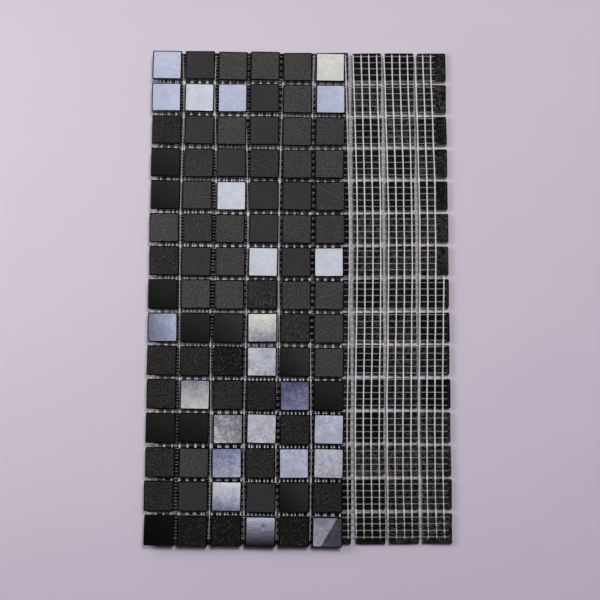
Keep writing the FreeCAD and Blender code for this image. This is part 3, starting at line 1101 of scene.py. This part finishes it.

# %% [markdown]
# The fibre is white glass under a resin size. Where glue has soaked it, the black glass shows through and
# it looks grey. A fine twist runs along each thread, with painted shade in the grooves between its plies.

# %% Make the net one piece


def make_fibre():
    material, tree, shader = start_material("glass_fibre")
    where = place_on_sheet(tree)
    along, across, glue = stored_parts(tree, "thread")
    twist = work_out(tree, "MULTIPLY_ADD", across, 9.0, multiply(tree, along, 3.2))
    ply = work_out(tree, "MULTIPLY_ADD", work_out(tree, "SINE", twist), 0.5, 0.5)
    mottle = noise(tree, where, 900, 3)
    dry = mix_colours(tree, mottle, (0.60, 0.57, 0.59, 1), (0.97, 0.935, 0.96, 1))
    soaked = mix_colours(tree, mottle, (0.03, 0.03, 0.03, 1), (0.12, 0.12, 0.12, 1))
    colour = mix_colours(tree, glue, dry, soaked)
    # Painted shade darkens the grooves of the twist.
    painted_groove_shade = between(tree, ply, 0, 1, 0, 0.18)
    colour = mix_colours(tree, painted_groove_shade, colour, (0.5, 0.5, 0.5, 1), "MULTIPLY")
    roughness = spread(tree, mottle, 0.45, 0.7)
    feed(tree, shader, {"Base Color": colour, "Roughness": roughness})
    raise_surface(tree, shader, work_out(tree, "ADD", ply, mottle), 0.00004)
    return material


def gather_net():
    starts = np.cumsum([0] + [len(points) for points, _, _ in strands])
    points = np.concatenate([points for points, _, _ in strands])
    quads = np.concatenate([quads + start for start, (_, quads, _) in zip(starts, strands)])
    net = make_piece("glass_fibre_net", points, quads, [make_fibre()])
    mark_points(net, "thread", np.concatenate([marks for _, _, marks in strands]))
    return net


net = gather_net()
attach(net, "root")
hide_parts("lower_net_warps", "upper_net_warps", "net_wefts")
print("net spans", [round(size / MM) for size in net.dimensions], "mm")

# %% [markdown]
# ## The table and the light
# The sheet lies on a plain pale lilac table, a little more violet towards its near side. The light is one
# soft window to the left, which leaves soft shadows right of and below the layers, a dim fill from above
# that no glaze mirrors, and a dim room that is brighter towards the far side. Tones are kept as they are
# with the standard view, because the picture has no film curve.

# %% Set the table and the light
TABLE_SIZE = 4.0
TABLE_DROP = 0.00002
TABLE_TONES = ((0.655, 0.585, 0.665, 1), (0.685, 0.612, 0.692, 1))
NEAR_SIDE_TONE = (1.0, 0.978, 1.07, 1)

scene.view_settings.view_transform = "Standard"
scene.view_settings.look = "None"


def make_table():
    mesh = bpy.data.meshes.new("table_top")
    half = TABLE_SIZE / 2
    corners = [(-half, -half, 0), (half, -half, 0), (half, half, 0), (-half, half, 0)]
    mesh.from_pydata(corners, [], [(0, 1, 2, 3)])
    material, tree, shader = start_material("pale_table")
    where = place_on_sheet(tree)
    colour = mix_colours(tree, noise(tree, where, 22, 4), *TABLE_TONES)
    right, up, _ = parts(tree, where)
    near = between(tree, work_out(tree, "MULTIPLY_ADD", right, -0.4, up), 0.06, -0.24, 0, 1)
    colour = mix_colours(tree, near, colour, NEAR_SIDE_TONE, "MULTIPLY")
    feed(tree, shader, {"Base Color": colour, "Roughness": 0.75, "Specular IOR Level": 0.2})
    mesh.materials.append(material)
    table = bpy.data.objects.new("table_top", mesh)
    table.location.z = measured_low.z - TABLE_DROP
    scene.collection.objects.link(table)


def make_area_light(name, place, target, size, watts, mirrored=True):
    light_data = bpy.data.lights.new(name, "AREA")
    light_data.shape = "RECTANGLE"
    light_data.size, light_data.size_y = size
    light_data.energy = watts
    light = bpy.data.objects.new(name, light_data)
    light.location = place
    light.rotation_euler = (Vector(target) - Vector(place)).to_track_quat("-Z", "Y").to_euler()
    light.visible_glossy = mirrored
    scene.collection.objects.link(light)


def make_room(strength_near, strength_far):
    world = bpy.data.worlds.new("soft_room")
    scene.world = world
    world.use_nodes = True
    tree = world.node_tree
    _, far, _ = parts(tree, add(tree, "ShaderNodeTexCoord").outputs["Generated"])
    strength = between(tree, far, -0.4, 0.4, strength_near, strength_far)
    feed(tree, tree.nodes["Background"], {"Strength": strength, "Color": (0.97, 0.98, 1.0, 1)})


make_table()
make_area_light("window", place=(-0.458, 0.125, 0.462), target=(0, 0, 0), size=(0.32, 0.32), watts=1.68)
make_area_light(
    "ceiling",
    place=(0.178, 0.3, 1.081),
    target=(0.315, 0.244, 0),
    size=(0.3, 0.3),
    watts=7.0,
    mirrored=False,
)
make_room(strength_near=0.0, strength_far=0.25)
print("table and light are set")
